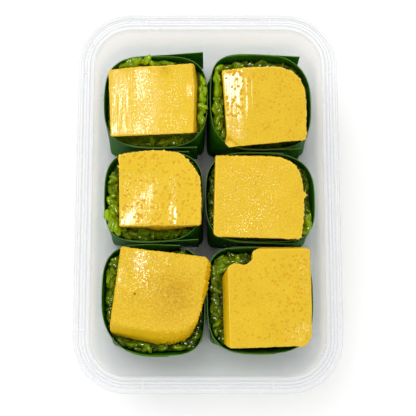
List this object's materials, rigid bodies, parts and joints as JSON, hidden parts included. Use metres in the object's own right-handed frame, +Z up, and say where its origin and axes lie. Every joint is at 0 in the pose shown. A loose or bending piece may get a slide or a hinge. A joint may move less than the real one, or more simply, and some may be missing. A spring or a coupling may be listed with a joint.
{
  "type": "sticky rice with custard",
  "caption": "Clear takeaway box of green sticky rice portions in folded leaf cups, each topped with a cut slab of yellow egg custard.",
  "frame": {"origin": "centre of the box's underside, on the surface it stands on", "axes": "+Y along the box's long side, +X across it, +Z up out of its open top"},
  "size_m": [0.12, 0.175, 0.05],
  "materials": {
    "clear_plastic": "thin milky see-through plastic, satin",
    "leaf": "dark green leaf with fine lines along the strip and a soft sheen",
    "green_rice": "wet, half clear green rice grains",
    "custard": "set egg custard, moist, with fine pits"
  },
  "bodies": {
    "root": {"container": "clear_plastic", "leaf_cup_back_left": "leaf", "leaf_cup_back_right": "leaf", "leaf_cup_middle_left": "leaf", "leaf_cup_middle_right": "leaf", "leaf_cup_front_left": "leaf", "leaf_cup_front_right": "leaf", "rice_back_left": "green_rice", "rice_back_right": "green_rice", "rice_middle_left": "green_rice", "rice_middle_right": "green_rice", "rice_front_left": "green_rice", "rice_front_right": "green_rice", "custard_back_left": "custard", "custard_back_right": "custard", "custard_middle_left": "custard", "custard_middle_right": "custard", "custard_front_left": "custard", "custard_front_right": "custard"}
  },
  "joints": []
}
